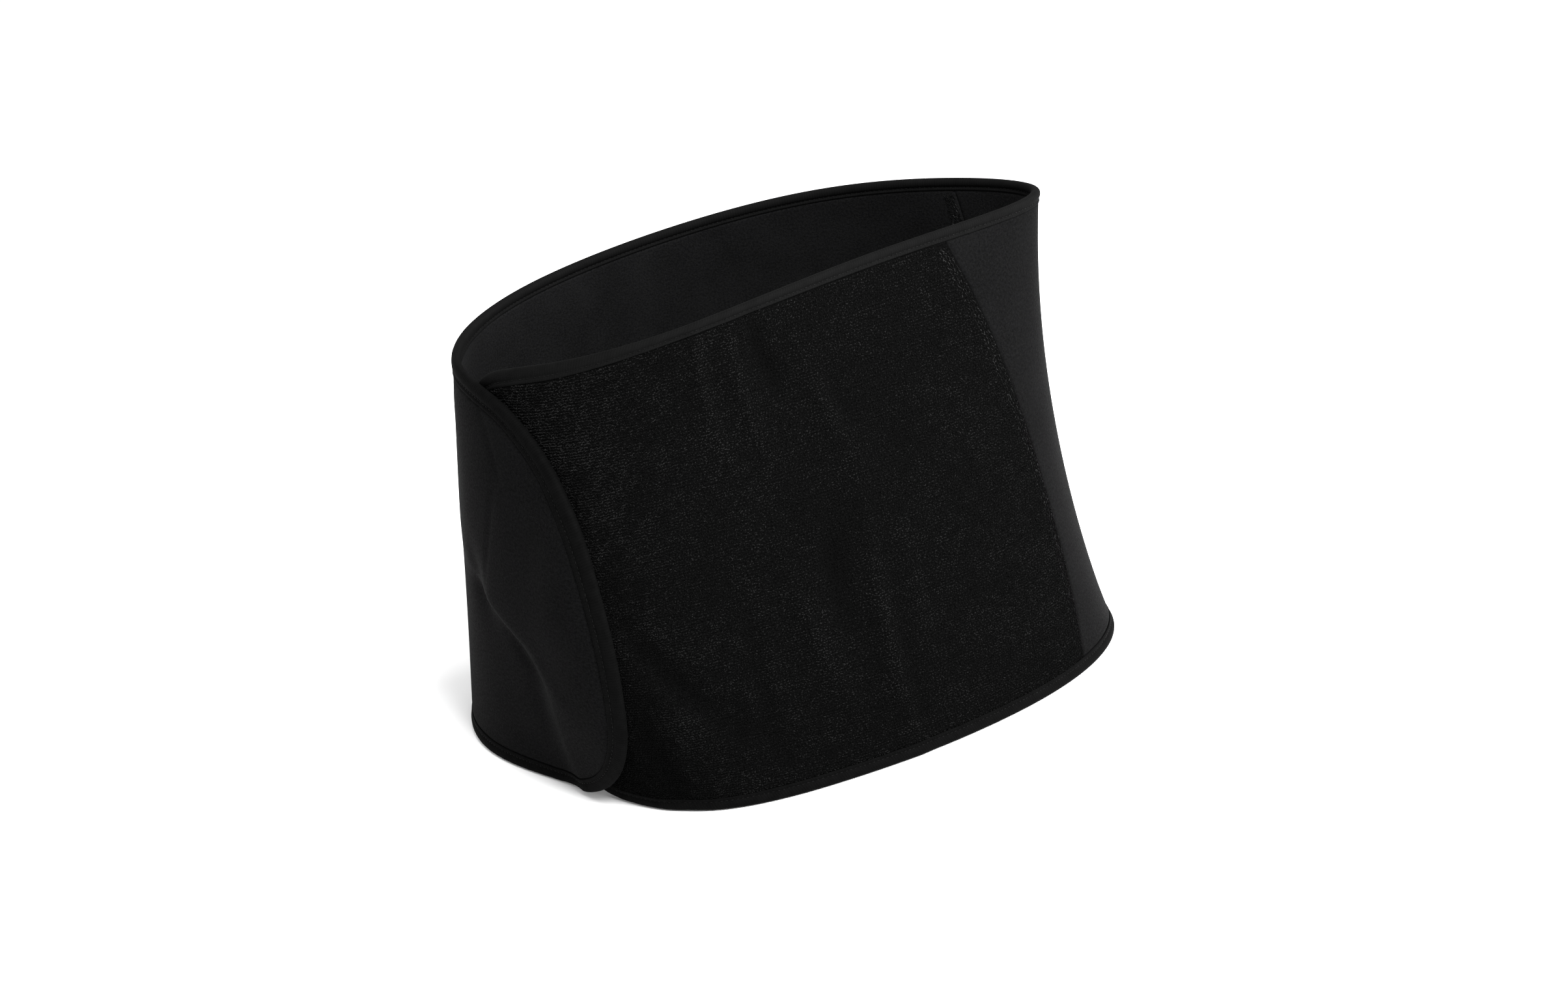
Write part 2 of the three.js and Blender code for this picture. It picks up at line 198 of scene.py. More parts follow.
# Bands of zigzag threads beside the seams, in millimetres.
SEAM_THREAD = 0.17
ZIGZAG_STEP = 0.95
ZIGZAG_BAND = (1.0, 7.4)
ZIGZAG_THREADS = 4
ZIGZAG_END_INSET = 8.6
ZIGZAG_BOW = np.array((0.2, 1.0, 0.2))
# Unevenness as shares of a step or of a thread's width, and the middle and spread of the shades' logarithm.
ZIGZAG_OFF_STEP = 0.4
ZIGZAG_LENGTHS = (0.5, 1.3)
ZIGZAG_OFF_LINE = 0.35
ZIGZAG_SLANTS = (0.2, 0.6)
ZIGZAG_SHADE = (-2.0, 1.1)
# Brightness of the threads at the lower and the upper edge, for each seam (-1 front, 1 rear) and each
# face (1 outside, -1 inside).
SEAM_BRIGHT = {(-1, 1): (0.3, 1.8), (-1, -1): (0.5, 0.9), (1, 1): (0.3, 0.9), (1, -1): (0.5, 0.9)}

# Loops of the front panel, in millimetres; patches of paler and darker loops as (size, strength).
LOOP_PITCH = 1.2
LOOP_ROW = 1.35
LOOP_LONG = 0.92
LOOP_TALL = 0.45
LOOP_YARN = 0.28
LOOP_SUNK = 0.14
LOOP_PATCHES = ((1.8, 0.55), (4.5, 0.4), (14.0, 0.4))
LOOP_EDGE_INSET = 8.4
# Unevenness as shares of a pitch or a row, in radians and as slope, as shares of height and length.
LOOP_OFF_PITCH = 0.5
LOOP_OFF_ROW = 0.28
LOOP_TURNED = 0.5
LOOP_LEAN = 0.4
LOOP_HEIGHTS = (0.6, 1.4)
LOOP_LENGTHS = (0.6, 1.25)
# Middle and spread of the shades' logarithm; an arch as shares of length and height.
LOOP_SHADE = (-1.27, 0.55)
LOOP_ARCH = ((-0.5, 0.0), (-0.05, 1.0), (0.5, 0.0))
LOOP_SIDES = 3
# The pile's shade carries painted light: painted sheen toward the top beside the flap and painted shade
# below it, and on folds and creases painted light where they stand out and painted shade where they sink
# in.
PAINTED_SHEEN_PALER = 1.5
PAINTED_SHEEN_ABOVE = 0.6
PAINTED_SHEEN_UNTIL = (0.18, 0.26)
FOLD_PAINTED_LIGHT = 0.35
CREASE_PAINTED_LIGHT = 0.55
DARKEST_PAINTED_SHADE = 0.1
LOOP_BANDS = ("loop_pile_lower", "loop_pile_mid_low", "loop_pile_mid_high", "loop_pile_upper")
LOOP_HIDDEN_UNDER_FLAP = 0.02

# Hook tape on the flap's inner face, hidden between flap and loops: levels in millimetres, heights and
# turns as shares, points across and up its grid, and the field of hooks in millimetres.
HOOK_LEVEL = 2.2
HOOK_THICK = 0.8
HOOK_HEIGHTS = (0.24, 0.82)
HOOK_FROM_FLAP_END = (0.072, 0.02)
HOOK_GRID = (14, 50)
HOOK_FIELD = (36.0, 130.0)
HOOK_PITCH = 2.4
HOOK_TALL = 0.6
# A hook as shares of its height along the tape and outward, and its radii in millimetres.
HOOK_BEND = ((0.0, 0.0), (0.0, 0.6), (0.3, 1.0), (0.75, 0.7))
HOOK_RADII = np.array((0.2, 0.16, 0.13, 0.1))
THREAD_SIDES = 4

# Looks: roughness, specular, sheen, sheen roughness, darkest and lightest grey.
LOOKS = {
    "foam": (0.75, 0.0085, 0.0043, 0.35, 0.00145, 0.0033),
    "loop_ground": (0.95, 0.0, 0.0, 0.5, 0.0008, 0.0021),
    "loop_pile": (0.55, 0.014, 0.003, 0.4, 0.0006, 0.0095),
    "tape_weave": (0.75, 0.008, 0.003, 0.35, 0.0006, 0.006),
    "seam_thread": (0.55, 0.02, 0.004, 0.3, 0.0004, 0.02),
    "tape_thread": (0.55, 0.04, 0.005, 0.3, 0.0013, 0.0045),
    "hook_plastic": (0.55, 0.04, 0.005, 0.3, 0.004, 0.007),
    "pale_floor": (0.9, 0.1, 0.0, 0.5, 0.9, 0.92),
}
FOAM_COOL = 1.03

rng = np.random.default_rng(7)


# Surface of the tube

STATIONS = 8
NEXT_DOOR = np.roll(np.eye(STATIONS), 1, axis=0) + np.roll(np.eye(STATIONS), -1, axis=0)
BENDING = np.linalg.solve(4 * np.eye(STATIONS) + NEXT_DOOR, 6 * (NEXT_DOOR - 2 * np.eye(STATIONS)))


def smooth(low, high, value):
    share = np.clip((value - low) / (high - low), 0, 1)
    return share * share * (3 - 2 * share)


def unit(vectors):
    return vectors / np.linalg.norm(vectors, axis=-1, keepdims=True)


def at_height(row, t):
    """Value of a three-number row at a share of the height."""
    return row[0] * (1 - t) * (1 - 2 * t) + 4 * row[1] * t * (1 - t) + row[2] * t * (2 * t - 1)


def closed_curve(values, u):
    """Smooth closed curve through the stations' values, one column of values for each turn in u."""
    bend = BENDING @ values
    place = np.mod(u, 1.0) * STATIONS
    i = np.floor(place).astype(int) % STATIONS
    j = (i + 1) % STATIONS
    b = place - np.floor(place)
    a = 1 - b
    column = np.arange(len(u))
    curved = ((a**3 - a) * bend[i, column] + (b**3 - b) * bend[j, column]) / 6
    return a * values[i, column] + b * values[j, column] + curved


def diagonal(mid_x, end_x, mid_y, end_y, fullness):
    reach = math.sqrt(0.5) * fullness
    return mid_x + (end_x - mid_x) * reach, 0.5 * end_y + mid_y * reach


def rim_height(u):
    angle = 2 * np.pi * u
    return HEIGHT_RIGHT - RIM_DROP_LEFT * (1 + np.cos(angle)) / 2 + RIM_RISE_MIDDLE * np.sin(angle) ** 2


def skin(u, t):
    """Points of the outer skin for arrays of turns and heights."""
    shape = np.shape(u)
    u, t = np.ravel(u), np.ravel(t)
    v = {name: at_height(row, t) for name, row in SKIN.items()}
    stations = (
        (v["left_x"], v["left_y"]),
        diagonal(v["front_x"], v["left_x"], v["front_y"], v["left_y"], v["front_left_fullness"]),
        (v["front_x"], v["front_y"]),
        diagonal(v["front_x"], v["right_x"], v["front_y"], v["right_y"], v["front_right_fullness"]),
        (v["right_x"], v["right_y"]),
        diagonal(v["rear_x"], v["right_x"], v["rear_y"], v["right_y"], v["rear_right_fullness"]),
        (v["rear_x"], v["rear_y"]),
        diagonal(v["rear_x"], v["left_x"], v["rear_y"], v["left_y"], v["rear_left_fullness"]),
    )
    x = closed_curve(np.array([point[0] for point in stations]), u)
    y = closed_curve(np.array([point[1] for point in stations]), u)
    return (np.stack((x, y, t * rim_height(u)), axis=-1) - BOX_CENTRE).reshape(*shape, 3)


def slopes(u, t, sight=1e-3):
    """Change of the skin along the turn and up the height, and the way out of the wall."""
    along = (skin(u + sight, t) - skin(u - sight, t)) / (2 * sight)
    up = (skin(u, t + sight) - skin(u, t - sight)) / (2 * sight)
    return along, up, unit(np.cross(along, up))


def lengths(u, t):
    """Millimetres per turn and per height."""
    along, up, _ = slopes(u, t)
    return np.linalg.norm(along, axis=-1), np.linalg.norm(up, axis=-1)


def way_along(line):
    """Running length of a line of points, from zero."""
    steps = np.linalg.norm(np.diff(line, axis=0), axis=1)
    return np.concatenate(((0.0,), np.cumsum(steps)))


def drawn(rows, count):
    """A smooth line through an outline's rows, evenly spaced, as (turn, height)."""
    knots = np.array(rows) * (1, HEIGHT_SQUEEZE)
    gaps = np.linalg.norm(np.diff(knots, axis=0), axis=1) ** 0.5
    knot_at = np.concatenate(((0.0,), np.cumsum(gaps)))
    slope = np.gradient(knots, knot_at, axis=0)
    fine = np.linspace(0, knot_at[-1], POINTS_BETWEEN_ROWS * len(rows))
    i = np.clip(np.searchsorted(knot_at, fine, side="right") - 1, 0, len(rows) - 2)
    gap = gaps[i][:, None]
    s = (fine - knot_at[i])[:, None] / gap
    line = (
        (2 * s**3 - 3 * s**2 + 1) * knots[i]
        + (s**3 - 2 * s**2 + s) * gap * slope[i]
        + (3 * s**2 - 2 * s**3) * knots[i + 1]
        + (s**3 - s**2) * gap * slope[i + 1]
    )
    way = way_along(line)
    even = np.linspace(0, way[-1], count)
    turn = np.interp(even, way, line[:, 0])
    height = np.interp(even, way, line[:, 1]) / HEIGHT_SQUEEZE
    return np.stack((turn, np.clip(height, 0, 1)), axis=1)


def turn_at(outline, t):
    rows = outline[np.argsort(outline[:, 1], kind="stable")]
    return np.interp(t, rows[:, 1], rows[:, 0])


flap_end = drawn(FLAP_END, FLAP_END_POINTS)
underlap_end = drawn(UNDERLAP_END, UNDERLAP_END_POINTS)
low_corner, high_corner = UNDERLAP_CORNER_ROWS
crease_line = drawn(UNDERLAP_END[low_corner:-high_corner], CREASE_POINTS) + (1 - CREASE_BEFORE_UNDERLAP, 0)


def folds_out(rows, u, t):
    out = np.zeros(np.shape(u))
    for turn, height, lean, across, upward, swell in rows:
        middle = turn + lean * (t - height)
        out = out + swell * np.exp(-(((u - middle) / across) ** 2) - ((t - height) / upward) ** 2)
    return out


def stands_out(u, t):
    """How far the wall's outer face stands out from the skin."""
    soft = smooth(*CREASE_SOFT_ABOVE, t)
    further_left = CREASE_LEFT * smooth(*CREASE_LEFT_ABOVE, t)
    before_crease = (turn_at(crease_line, t) - u) * LEFT_WAY_ROUND - further_left
    rounded = CREASE_ROUND + CREASE_SOFT_ROUND * soft
    fall = (before_crease + np.sqrt(before_crease**2 + rounded**2)) / 2
    out = FLAP_LIFT * np.exp(-fall / (CREASE_FALL + CREASE_SOFT_FALL * soft))
    out = out + folds_out(FOLDS + FLAP_CREASES + LOOP_CREASES, u, t)
    away_from_rims = smooth(0.0, RIPPLE_FREE_RIM, t) * smooth(0.0, RIPPLE_FREE_RIM, 1 - t)
    for round_tube, up_tube, start, height in RIPPLES:
        wave = np.sin(round_tube * u + up_tube * t + start) * np.sin(RIPPLE_SWELLS_UP * t + start)
        out = out + height * wave * away_from_rims
    return out


def layer(u, t, level):
    """Points some millimetres outside the wall's outer face."""
    return skin(u, t) + slopes(u, t)[2] * (stands_out(u, t) + level)[..., None]


def moved_inward(path, inset, closed=False):
    """A path of (turn, height) moved inward from the edge by some millimetres along the wall."""
    step = np.roll(path, -1, axis=0) - np.roll(path, 1, axis=0) if closed else np.gradient(path, axis=0)
    along, up = lengths(path[:, 0], path[:, 1])
    go_along, go_up = step[:, 0] * along, step[:, 1] * up
    length = np.hypot(go_along, go_up)
    turn = path[:, 0] + inset * go_up / length / along
    height = path[:, 1] - inset * go_along / length / up
    return np.stack((turn, height), axis=1)


def tape_share(u, t):
    """Share of the tape's full width at a place along the edge."""
    upper = np.where(t > 0.5, 1.0, 0.0)
    return 1 - TAPE_NARROWER * upper * smooth(*TAPE_NARROWS, u) * (1 - smooth(*TAPE_WIDENS, u))


def rim_inset(u, t):
    """Millimetres to the nearer of the upper and lower edges, stretched to the tape's full width."""
    return np.minimum(t, 1 - t) * lengths(u, t)[1] / tape_share(u, t)


def distance_to(outline, u, t):
    along, up = lengths(u, t)
    least = np.full(np.shape(u), np.inf)
    for turn, height in outline:
        least = np.minimum(least, np.hypot((turn - u) * along, (height - t) * up))
    return least


def seam_line(side, t):
    return SIDE_MIDDLE_TURN + side * at_height(SKIN["seam_turn"], t)


def beside_seam(side, distance):
    def line(t):
        u = seam_line(side, t)
        return u + distance / lengths(u, t)[0]
    return line


# Meshes

def mesh_piece(name, points, faces, materials, uv=None, shade=None, zones=None, smooth_quads=None, caps=()):
    """A piece of quads: uv in millimetres, a shade for each point, a material's place for each quad.

    The first smooth_quads quads are shaded smooth, or all where no number is given.
    Caps are flat end faces.
    """
    points = np.asarray(points, dtype=np.float64).reshape(-1, 3) * MM
    faces = np.asarray(faces, dtype=np.int32).reshape(-1, 4)
    corners = np.concatenate((faces.ravel(), np.ravel(caps))).astype(np.int32)
    sizes = np.concatenate((np.full(len(faces), 4), [len(cap) for cap in caps])).astype(np.int32)
    mesh = bpy.data.meshes.new(name)
    mesh.vertices.add(len(points))
    mesh.vertices.foreach_set("co", points.ravel())
    mesh.loops.add(len(corners))
    mesh.loops.foreach_set("vertex_index", corners)
    mesh.polygons.add(len(sizes))
    mesh.polygons.foreach_set("loop_start", np.cumsum(sizes, dtype=np.int32) - sizes)
    smooth_quads = len(faces) if smooth_quads is None else smooth_quads
    mesh.polygons.foreach_set("use_smooth", np.arange(len(sizes)) < smooth_quads)
    mesh.update(calc_edges=True)
    if uv is not None:
        places = (np.asarray(uv).reshape(-1, 2) * MM)[corners]
        mesh.uv_layers.new(name="cloth").data.foreach_set("uv", places.ravel())
    if shade is not None:
        values = np.ascontiguousarray(shade, dtype=np.float32).ravel()
        mesh.attributes.new("shade", "FLOAT", "POINT").data.foreach_set("value", values)
    for material in materials:
        mesh.materials.append(material)
    if zones is not None:
        mesh.polygons.foreach_set("material_index", np.asarray(zones, dtype=np.int32))
    piece = bpy.data.objects.new(name, mesh)
    bpy.context.scene.collection.objects.link(piece)
    return piece


def quads(a, b, c, d):
    return np.stack((a.ravel(), b.ravel(), c.ravel(), d.ravel()), axis=1)


def slab(name, outer, inner, face, inner_side_material, uv):
    """A closed slab between an outer and an inner grid of points, with a material for each side."""
    rows, columns = outer.shape[:2]
    front = np.arange(rows * columns).reshape(rows, columns)
    back = front + rows * columns
    faces = np.concatenate((
        quads(front[:-1, :-1], front[:-1, 1:], front[1:, 1:], front[1:, :-1]),
        quads(back[:-1, :-1], back[1:, :-1], back[1:, 1:], back[:-1, 1:]),
        quads(front[0, :-1], back[0, :-1], back[0, 1:], front[0, 1:]),
        quads(front[-1, :-1], front[-1, 1:], back[-1, 1:], back[-1, :-1]),
        quads(front[:-1, 0], front[1:, 0], back[1:, 0], back[:-1, 0]),
        quads(front[:-1, -1], back[:-1, -1], back[1:, -1], front[1:, -1]),
    ))
    points = np.concatenate((outer.reshape(-1, 3), inner.reshape(-1, 3)))
    one_side = (rows - 1) * (columns - 1)
    zones = np.zeros(len(faces))
    zones[one_side:2 * one_side] = 1
    both = np.concatenate((uv, uv))
    return mesh_piece(name, points, faces, (face, inner_side_material), both, zones=zones, smooth_quads=2 * one_side)


def tubes(name, centres, outward, radii, sides, material, shade=None):
    """Many short closed tubes: centres and outward are (tube, ring, 3), radii one for each ring."""
    onward = unit(np.gradient(centres, axis=1))
    sideways = unit(np.cross(onward, outward))
    lifted = np.cross(sideways, onward)
    angles = 2 * np.pi * np.arange(sides) / sides
    around = (
        np.cos(angles)[:, None] * sideways[:, :, None, :] + np.sin(angles)[:, None] * lifted[:, :, None, :]
    )
    points = centres[:, :, None, :] + around * np.asarray(radii)[:, None, None]
    index = np.arange(points.size // 3).reshape(points.shape[:3])
    here, ahead = index[:, :-1], index[:, 1:]
    faces = quads(here, ahead, np.roll(ahead, -1, axis=2), np.roll(here, -1, axis=2))
    caps = np.concatenate((index[:, 0], index[:, -1, ::-1]))
    if shade is not None:
        shade = np.broadcast_to(shade[:, None, None], points.shape[:3])
    return mesh_piece(name, points, faces, (material,), shade=shade, caps=caps)


# Materials

# A wave node turns through this many radians in one unit of its scale.
WAVE_RADIANS = 20.0
# Places of a mix node's colours among its inputs and outputs.
MIX_DARK, MIX_LIGHT, MIX_RESULT = 6, 7, 2


def grey(value, cool=1.0):
    return (value, value, value * cool, 1.0)


def cloth_material(name, look, pale=1.0, cool=1.0):
    """A material with its nodes, its shader and the darkest and lightest colours of its look."""
    roughness, specular, sheen, sheen_roughness, dark, light = LOOKS[look]
    material = bpy.data.materials.new(name)
    material.use_nodes = True
    shader = material.node_tree.nodes["Principled BSDF"]
    shader.inputs["Roughness"].default_value = roughness
    shader.inputs["Specular IOR Level"].default_value = specular * pale
    shader.inputs["Sheen Weight"].default_value = sheen * pale
    shader.inputs["Sheen Roughness"].default_value = sheen_roughness
    return material, material.node_tree, shader, (grey(dark * pale, cool), grey(light * pale, cool))


def noise(tree, coordinates, millimetres, detail=2.0):
    node = tree.nodes.new("ShaderNodeTexNoise")
    node.inputs["Scale"].default_value = 1 / (millimetres * MM)
    node.inputs["Detail"].default_value = detail
    tree.links.new(coordinates, node.inputs["Vector"])
    return node.outputs["Fac"]


def ribs(tree, coordinates, direction, millimetres, distortion):
    node = tree.nodes.new("ShaderNodeTexWave")
    node.bands_direction = direction
    node.inputs["Scale"].default_value = 2 * math.pi / WAVE_RADIANS / (millimetres * MM)
    node.inputs["Distortion"].default_value = distortion
    node.inputs["Detail"].default_value = 1.0
    tree.links.new(coordinates, node.inputs["Vector"])
    return node.outputs["Fac"]


def weighted(tree, first, weight, second):
    """first times weight plus second."""
    node = tree.nodes.new("ShaderNodeMath")
    node.operation = "MULTIPLY_ADD"
    tree.links.new(first, node.inputs[0])
    node.inputs[1].default_value = weight
    tree.links.new(second, node.inputs[2])
    return node.outputs[0]


def spread(tree, value, low, high, to_low=0.0, to_high=1.0):
    node = tree.nodes.new("ShaderNodeMapRange")
    tree.links.new(value, node.inputs["Value"])
    node.inputs["From Min"].default_value = low
    node.inputs["From Max"].default_value = high
    node.inputs["To Min"].default_value = to_low
    node.inputs["To Max"].default_value = to_high
    return node.outputs["Result"]


def colour(tree, shader, factor, shades):
    """Base colour between the dark and the light shade."""
    dark, light = shades
    node = tree.nodes.new("ShaderNodeMix")
    node.data_type = "RGBA"
    tree.links.new(factor, node.inputs["Factor"])
    node.inputs[MIX_DARK].default_value = dark
    node.inputs[MIX_LIGHT].default_value = light
    tree.links.new(node.outputs[MIX_RESULT], shader.inputs["Base Color"])


def bump(tree, shader, height, strength, millimetres):
    node = tree.nodes.new("ShaderNodeBump")
    node.inputs["Strength"].default_value = strength
    node.inputs["Distance"].default_value = millimetres * MM
    tree.links.new(height, node.inputs["Height"])
    tree.links.new(node.outputs["Normal"], shader.inputs["Normal"])


def object_place(tree):
    return tree.nodes.new("ShaderNodeTexCoord").outputs["Object"]


def own_shade(tree):
    node = tree.nodes.new("ShaderNodeAttribute")
    node.attribute_name = "shade"
    return node.outputs["Fac"]


def cloth_place(tree):
    node = tree.nodes.new("ShaderNodeUVMap")
    node.uv_map = "cloth"
    return node.outputs["UV"]


def foam_material(name, pale, grain, relief):
    """Fine knit over foam: how pale it is, its grain in millimetres and how strongly the grain shows."""
    material, tree, shader, shades = cloth_material(name, "foam", pale, FOAM_COOL)
    place = cloth_place(tree)
    knit = weighted(tree, noise(tree, place, grain), 0.6, noise(tree, place, 2 * grain))
    tone = weighted(tree, noise(tree, place, 24.0, detail=3.0), 0.5, knit)
    middle, reach = 1.05, 0.3 / relief
    colour(tree, shader, spread(tree, tone, middle - reach, middle + reach), shades)
    roughness = spread(tree, knit, 0.5, 1.1, to_low=0.85, to_high=0.65)
    tree.links.new(roughness, shader.inputs["Roughness"])
    bump(tree, shader, knit, strength=0.35 * relief, millimetres=0.35)
    return material


def loop_ground_material():
    material, tree, shader, shades = cloth_material("loop_ground", "loop_ground")
    place = cloth_place(tree)
    rows = ribs(tree, place, "Y", millimetres=1.6, distortion=4.0)
    ground = weighted(tree, rows, 0.15, noise(tree, place, 0.9))
    colour(tree, shader, spread(tree, ground, 0.35, 0.8), shades)
    bump(tree, shader, ground, strength=0.4, millimetres=0.4)
    return material


def loop_pile_material():
    material, tree, shader, shades = cloth_material("loop_pile", "loop_pile")
    twist = noise(tree, object_place(tree), 0.7)
    tone = weighted(tree, twist, 0.3, own_shade(tree))
    colour(tree, shader, spread(tree, tone, 0.15, 1.15), shades)
    return material


def tape_material():
    """Ribbed tape, paler where its shade is higher; along the upper rim that paleness is painted light."""
    material, tree, shader, shades = cloth_material("tape_weave", "tape_weave")
    place = cloth_place(tree)
    weave = ribs(tree, place, "X", millimetres=1.35, distortion=1.6)
    fine = weighted(tree, noise(tree, place, 0.8), 0.5, weave)
    tone = weighted(tree, fine, 0.2, noise(tree, place, 5.0, detail=3.0))
    tone = weighted(tree, tone, 0.3, own_shade(tree))
    colour(tree, shader, tone, shades)
    bump(tree, shader, fine, strength=0.22, millimetres=0.3)
    return material


def seam_thread_material():
    material, tree, shader, shades = cloth_material("seam_thread", "seam_thread")
    colour(tree, shader, own_shade(tree), shades)
    return material


def thread_material(name):
    material, tree, shader, shades = cloth_material(name, name)
    twist = noise(tree, object_place(tree), 0.9)
    colour(tree, shader, spread(tree, twist, 0.3, 0.7), shades)
    bump(tree, shader, twist, strength=0.4, millimetres=0.1)
    return material


foam_knit = foam_material("foam_knit", pale=1.0, grain=0.7, relief=1.1)
# Painted light: a paler copy of the foam knit for the inner faces, brightening the inside of the tube that
# its walls shade.
inner_knit_painted_light = foam_material("inner_knit_painted_light", pale=1.6, grain=0.6, relief=1.4)
loop_ground = loop_ground_material()
loop_yarn = loop_pile_material()
tape_weave = tape_material()
tape_thread = thread_material("tape_thread")
seam_thread = seam_thread_material()
hook_plastic = thread_material("hook_plastic")


# Panels

def row_heights():
    """Heights of the grid rows: close together at the edges, even between."""
    edge = EDGE_ROWS / rim_height(FRONT_TURN)
    between = np.linspace(edge[-1], 1 - edge[-1], ROWS_BETWEEN)[1:-1]
    return np.concatenate((edge, between, 1 - edge[::-1]))


def cloth_uv(u, t):
    """Millimetres along the cloth at half height, and up it."""
    turns = np.linspace(0, 1.3, 1301)
    way = way_along(skin(turns, np.full_like(turns, 0.5)))
    return np.stack((np.interp(u, turns, way), t * rim_height(u)), axis=-1)


def outer_level(inset, ground):
    swell = FOAM / 2 + ground - PINCH_HALF
    return WALL_MIDDLE + PINCH_HALF + swell * smooth(PINCH_UNTIL, PINCH_FULL, inset)


def inner_level(inset):
    return WALL_MIDDLE - PINCH_HALF - (FOAM / 2 - PINCH_HALF) * smooth(PINCH_UNTIL, PINCH_FULL, inset)


def seam_groove(u, t):
    """How far each face of the wall sinks in at the seams."""
    along = lengths(u, t)[0]
    near = [np.exp(-((u - seam_line(side, t)) * along / SEAM_GROOVE_HALF) ** 2) for side in (-1, 1)]
    return SEAM_GROOVE * (near[0] + near[1])


def panel(name, start, end, columns, outline, ground, material):
    """A foam panel between two seams or ends, thin under the tape."""
    shares = shares_through(*columns)
    t = np.repeat(row_heights()[:, None], len(shares), axis=1)
    u = start(t) + (end(t) - start(t)) * shares[None, :]
    inset = rim_inset(u, t)
    if outline is not None:
        inset = np.minimum(inset, distance_to(outline, u, t))
    groove = seam_groove(u, t) * smooth(PINCH_UNTIL, PINCH_FULL, inset)
    outer = layer(u, t, outer_level(inset, ground) - groove)
    inner = layer(u, t, inner_level(inset) + groove)
    # The inner faces take the paler copy of the knit, painted light for the inside of the tube.
    return slab(name, outer, inner, material, inner_knit_painted_light, cloth_uv(u, t))


def shares_through(*stretches):
    """Shares from 0 to 1 in stretches of (last share, steps)."""
    shares = [0.0]
    for last, steps in stretches:
        shares.extend(np.linspace(shares[-1], last, steps + 1)[1:])
    return np.array(shares)


underlap_inset = moved_inward(underlap_end, END_INSET)
flap_inset = moved_inward(flap_end, END_INSET)


def loop_start(t):
    return turn_at(underlap_inset, t)


def wrap_end(t):
    return turn_at(flap_inset, t)


front_seam, rear_seam = beside_seam(-1, 0.0), beside_seam(1, 0.0)
loop_cloth = panel(
    "loop_cloth", loop_start, front_seam, LOOP_COLUMNS, underlap_end, LOOP_GROUND, loop_ground,
)
side_cloth = panel("side_cloth", front_seam, rear_seam, SIDE_COLUMNS, None, 0.0, foam_knit)
wrap_cloth = panel("wrap_cloth", rear_seam, wrap_end, WRAP_COLUMNS, flap_end, 0.0, foam_knit)


# Edge tape and its stitches

def rim(first, last, height, way_round):
    count = int(abs(last - first) * way_round / TAPE_STEP)
    turns = np.linspace(first, last, count + 1)[1:-1]
    return np.stack((turns, np.full_like(turns, height)), axis=1)


tape_path = np.concatenate((
    rim(underlap_end[-1, 0], flap_end[0, 0], 1.0, WAY_ROUND_TOP),
    flap_end,
    rim(flap_end[-1, 0], underlap_end[0, 0], 0.0, WAY_ROUND_BOTTOM),
    underlap_end,
))
tape_shares = tape_share(tape_path[:, 0], tape_path[:, 1])


def on_tape(inset, out):
    """The line along the whole tape at one inset and one level from the wall's middle."""
    place = moved_inward(tape_path, inset * tape_shares, closed=True)
    points = layer(place[:, 0], place[:, 1], np.full(len(place), WALL_MIDDLE + out))
    points[:, 2] = np.maximum(points[:, 2], 0.0)
    return points


def tape_section():
    """Corners of the folded tape: outer face, inner face, then the hollow that grips the foam."""
    outer_face = list(TAPE_FACE)
    inner_face = [(inset, -half) for inset, half in reversed(TAPE_FACE)]
    hollow_in = [(inset, -half) for inset, half in TAPE_HOLLOW]
    hollow_out = [(inset, half) for inset, half in reversed(TAPE_HOLLOW)]
    return outer_face + inner_face + hollow_in + hollow_out


def edge_tape_piece():
    section = tape_section()
    points = np.stack([on_tape(inset, out) for inset, out in section], axis=1)
    along = way_along(points[:, len(TAPE_FACE)])
    across = way_along(np.array(section))
    uv = np.stack(np.broadcast_arrays(along[:, None], across[None, :]), axis=-1)
    turn, height = tape_path.T
    # Painted light: the tape's shade is paler along the upper rim, where light falls on it.
    shade = TAPE_PAINTED_LIGHT_UPPER * smooth(*TAPE_PAINTED_LIGHT_ABOVE, height) * (1 - smooth(*TAPE_PAINTED_LIGHT_UNTIL, turn))
    shade = np.repeat(shade[:, None], len(section), axis=1)
    here = np.arange(points.size // 3).reshape(points.shape[:2])
    ahead = np.roll(here, -1, axis=0)
    faces = quads(here, ahead, np.roll(ahead, -1, axis=1), np.roll(here, -1, axis=1))
    return mesh_piece("edge_tape", points, faces, (tape_weave,), uv, shade)


def groove_stitches(side):
    """Centres of the running stitches on one face of the tape, and the way they face."""
    inset, half = TAPE_GROOVE
    place = moved_inward(tape_path, inset * tape_shares, closed=True)
    line = on_tape(inset, side * half)
    outward = slopes(place[:, 0], place[:, 1])[2] * side
    line, outward = np.concatenate((line, line[:1])), np.concatenate((outward, outward[:1]))
    way = way_along(line)
    share = np.linspace(0, 1, len(STITCH_TAPER))
    starts = np.arange(0, way[-1] - STITCH_LAST_LONG * STITCH_LONG, STITCH_PITCH)
    count = len(starts)
    starts = starts + rng.uniform(0.0, STITCH_LATE, count)
    at = starts[:, None] + STITCH_LONG * rng.uniform(*STITCH_LENGTHS, count)[:, None] * share
    centres = np.stack([np.interp(at, way, line[:, axis]) for axis in range(3)], axis=-1)
    facing = unit(np.stack([np.interp(at, way, outward[:, axis]) for axis in range(3)], axis=-1))
    uneven = rng.uniform(*STITCH_UNEVEN, count)[:, None]
    lift = THREAD * (STITCH_RISE * np.sin(np.pi * share) - STITCH_SUNK + uneven)
    return centres + facing * lift[:, :, None], facing


edge_tape = edge_tape_piece()
stitch_runs = [groove_stitches(side) for side in (1, -1)]
tape_stitches = tubes(
    "tape_stitches",
    np.concatenate([centres for centres, _ in stitch_runs]),
    np.concatenate([facing for _, facing in stitch_runs]),
    THREAD * STITCH_TAPER, THREAD_SIDES, tape_thread,
)


# Bands of zigzag stitches along the two seams, on both faces

